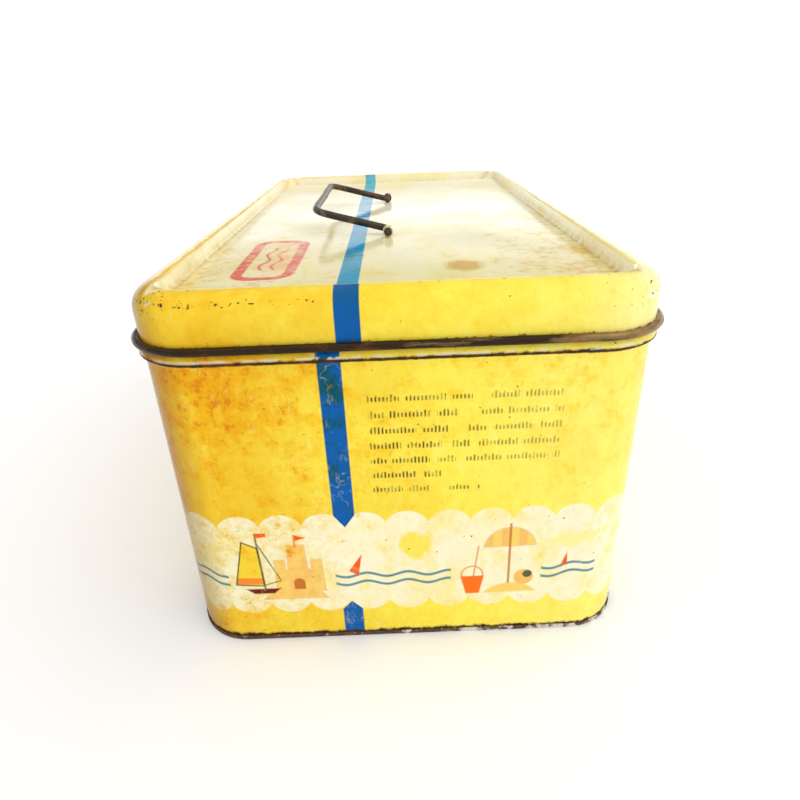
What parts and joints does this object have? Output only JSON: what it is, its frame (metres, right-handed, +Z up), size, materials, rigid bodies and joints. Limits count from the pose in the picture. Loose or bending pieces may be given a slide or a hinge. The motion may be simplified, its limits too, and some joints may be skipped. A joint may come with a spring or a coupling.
{
  "type": "rectangular tin box",
  "caption": "Rectangular tinplate box with rounded corners, a slip lid with a recessed top and a folding wire handle held by bent clips.",
  "frame": {"origin": "middle of the base, on the plane that the box stands on", "axes": "+Z up; +Y along the length, from the narrow end with the printed panel to the rear end; +X to the right seen from that front end"},
  "size_m": [0.144, 0.253, 0.1209],
  "materials": {
    "printed_wall": "glossy printed enamel, worn and rust-spotted",
    "printed_lid": "glossy printed enamel, stained",
    "bare_tinplate": "rusted bare tinplate",
    "handle_wire": "dark rusted wire",
    "clip_tinplate": "dull bare tinplate",
    "backing_tinplate": "plain tinplate"
  },
  "bodies": {
    "tin_body": {"body_wall": "printed_wall", "bottom_panel": "bare_tinplate"},
    "lid": {"lid_shell": "printed_lid", "front_handle_clip": "clip_tinplate", "rear_handle_clip": "clip_tinplate", "front_backing_plate": "backing_tinplate", "rear_backing_plate": "backing_tinplate"},
    "handle": {"handle_bail": "handle_wire"}
  },
  "joints": [
    {"name": "lid_lift", "type": "slide", "parent": "tin_body", "child": "lid", "axis": [0, 0, 1], "range_m": [0, 0.06]},
    {"name": "handle_fold", "type": "hinge", "parent": "lid", "child": "handle", "pos_m": [-0.002, 0, 0.11246], "axis": [0, 1, 0], "range_deg": [-15, 165]}
  ]
}
